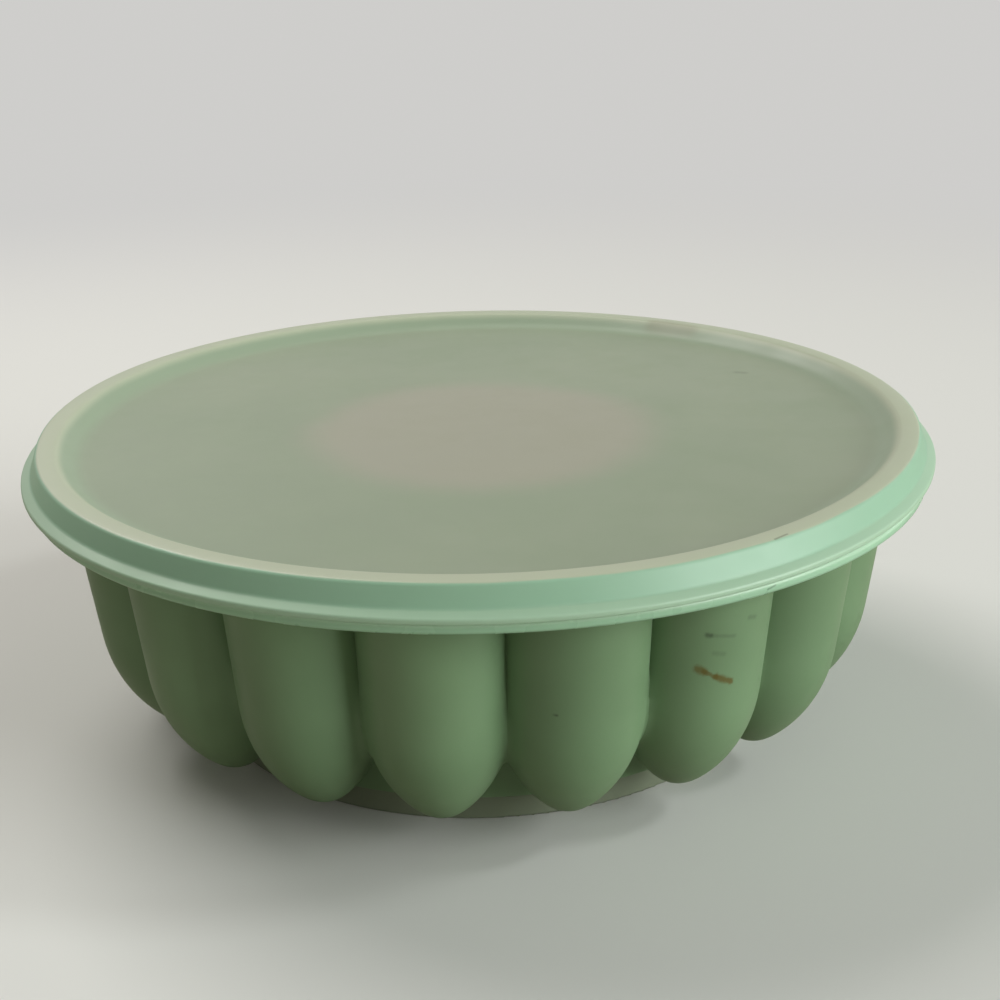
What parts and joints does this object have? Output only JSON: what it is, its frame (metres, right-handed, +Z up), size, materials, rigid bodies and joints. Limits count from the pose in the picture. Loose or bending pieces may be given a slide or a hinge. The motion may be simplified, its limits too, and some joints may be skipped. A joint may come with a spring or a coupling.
{
  "type": "jelly mould",
  "caption": "Fluted ring mould for jelly: round ribbed bowl with a flanged rim, press-on lid and plug-in base with a hollow centre tower.",
  "frame": {"origin": "centre of the base's underside, on the surface that the mould stands on", "axes": "+Z up along the mould's axis, towards the lid; a valley between two flutes lies at -Y"},
  "size_m": [0.241, 0.241, 0.0796],
  "materials": {
    "shell_plastic": "satin jade-green plastic, soft and slightly waxy",
    "lid_plastic": "milky, slightly translucent greenish-white plastic",
    "base_plastic": "milky green plastic, in shade under the shell"
  },
  "bodies": {
    "base": {"centre_tower": "base_plastic"},
    "shell": {"mould_body": "shell_plastic"},
    "lid": {"lid": "lid_plastic"}
  },
  "joints": [
    {"name": "shell_lift", "type": "slide", "parent": "base", "child": "shell", "axis": [0, 0, 1], "range_m": [0, 0.09]},
    {"name": "lid_lift", "type": "slide", "parent": "shell", "child": "lid", "axis": [0, 0, 1], "range_m": [0, 0.07]}
  ]
}
